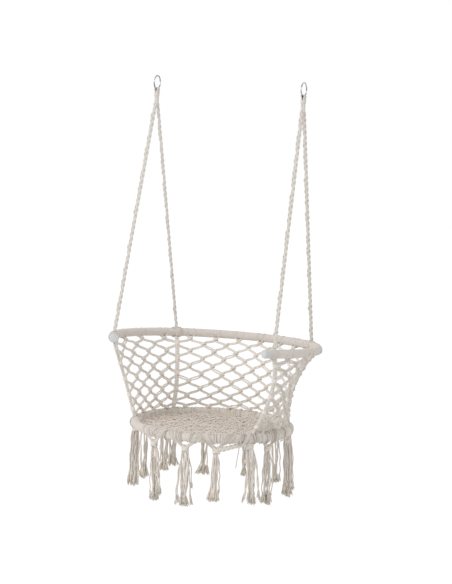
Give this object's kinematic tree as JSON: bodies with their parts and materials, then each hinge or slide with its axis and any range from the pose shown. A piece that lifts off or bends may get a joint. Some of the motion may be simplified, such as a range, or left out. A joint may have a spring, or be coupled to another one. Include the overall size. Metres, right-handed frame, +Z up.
{
  "type": "hammock chair",
  "caption": "Netted cotton hammock chair with a round seat hoop and an open back hoop, hung by knotted ropes from two steel rings, with tassels under the seat.",
  "frame": {"origin": "midway between the centres of the two hanging rings", "axes": "+Z up along the hanging ropes, -Y towards the open front of the seat, +X towards the sitter's left"},
  "size_m": [0.7974, 0.7164, 1.5671],
  "materials": {
    "cotton_rope": "twisted and braided cotton cord, matt, off-white",
    "cotton_winding": "cotton cord wound close round a tube, matt, cream",
    "cotton_net": "doubled knotted cotton cord, matt, cream",
    "cotton_tassel": "loose cotton strands, matt, off-white",
    "ring_steel": "polished round steel wire",
    "tube_steel": "plain coated tube, hidden by the cord round it",
    "cap_plastic": "white moulded plastic, soft gloss"
  },
  "bodies": {
    "rings": {"left_ring": "ring_steel", "right_ring": "ring_steel"},
    "left_eye": {"left_eye": "cotton_rope"},
    "left_ropes": {"left_binding": "cotton_rope", "left_front_rope": "cotton_rope", "left_rear_rope": "cotton_rope"},
    "basket": {"back_hoop_tube": "tube_steel", "back_hoop_winding": "cotton_winding", "left_end_cap": "cap_plastic", "right_end_cap": "cap_plastic", "seat_hoop_tube": "tube_steel", "seat_hoop_sleeve": "tube_steel", "seat_hoop_winding": "cotton_winding", "left_front_upper_hitch": "cotton_rope", "left_rear_upper_hitch": "cotton_rope", "right_front_upper_hitch": "cotton_rope", "right_rear_upper_hitch": "cotton_rope", "left_front_post": "cotton_rope", "left_rear_post": "cotton_rope", "right_front_post": "cotton_rope", "right_rear_post": "cotton_rope", "left_front_lower_hitch": "cotton_rope", "left_rear_lower_hitch": "cotton_rope", "right_front_lower_hitch": "cotton_rope", "right_rear_lower_hitch": "cotton_rope", "left_front_tail": "cotton_tassel", "left_rear_tail": "cotton_tassel", "right_front_tail": "cotton_tassel", "right_rear_tail": "cotton_tassel", "left_net": "cotton_net", "back_net": "cotton_net", "right_net": "cotton_net", "seat_net": "cotton_net", "tassel_01": "cotton_tassel", "tassel_02": "cotton_tassel", "tassel_03": "cotton_tassel", "tassel_04": "cotton_tassel", "tassel_05": "cotton_tassel", "tassel_06": "cotton_tassel", "tassel_07": "cotton_tassel", "tassel_08": "cotton_tassel", "tassel_09": "cotton_tassel", "tassel_10": "cotton_tassel"},
    "right_ropes": {"right_binding": "cotton_rope", "right_front_rope": "cotton_rope", "right_rear_rope": "cotton_rope"},
    "right_eye": {"right_eye": "cotton_rope"}
  },
  "joints": [
    {"name": "swing", "type": "hinge", "parent": "rings", "child": "left_eye", "pos_m": [0.2976, 0, 0], "axis": [1, 0, 0], "range_deg": [-30, 30]},
    {"name": "side_sway", "type": "hinge", "parent": "left_eye", "child": "left_ropes", "pos_m": [0.2976, -0.0016, -0.0602], "axis": [0, 1, 0], "range_deg": [-5, 5]},
    {"name": "basket_level", "type": "hinge", "parent": "left_ropes", "child": "basket", "pos_m": [0.2976, -0.0016, -0.9315], "axis": [0, 1, 0], "range_deg": [-5, 5]},
    {"name": "right_rope_lean", "type": "hinge", "parent": "basket", "child": "right_ropes", "pos_m": [-0.2976, -0.0016, -0.9315], "axis": [0, 1, 0], "range_deg": [-5, 5]},
    {"name": "right_eye_level", "type": "hinge", "parent": "right_ropes", "child": "right_eye", "pos_m": [-0.2976, -0.0016, -0.0602], "axis": [0, 1, 0], "range_deg": [-5, 5]}
  ],
  "couplings": [
    {"joint": "basket_level", "follows": "side_sway", "ratio": -1},
    {"joint": "right_rope_lean", "follows": "side_sway", "ratio": 1},
    {"joint": "right_eye_level", "follows": "side_sway", "ratio": -1}
  ]
}
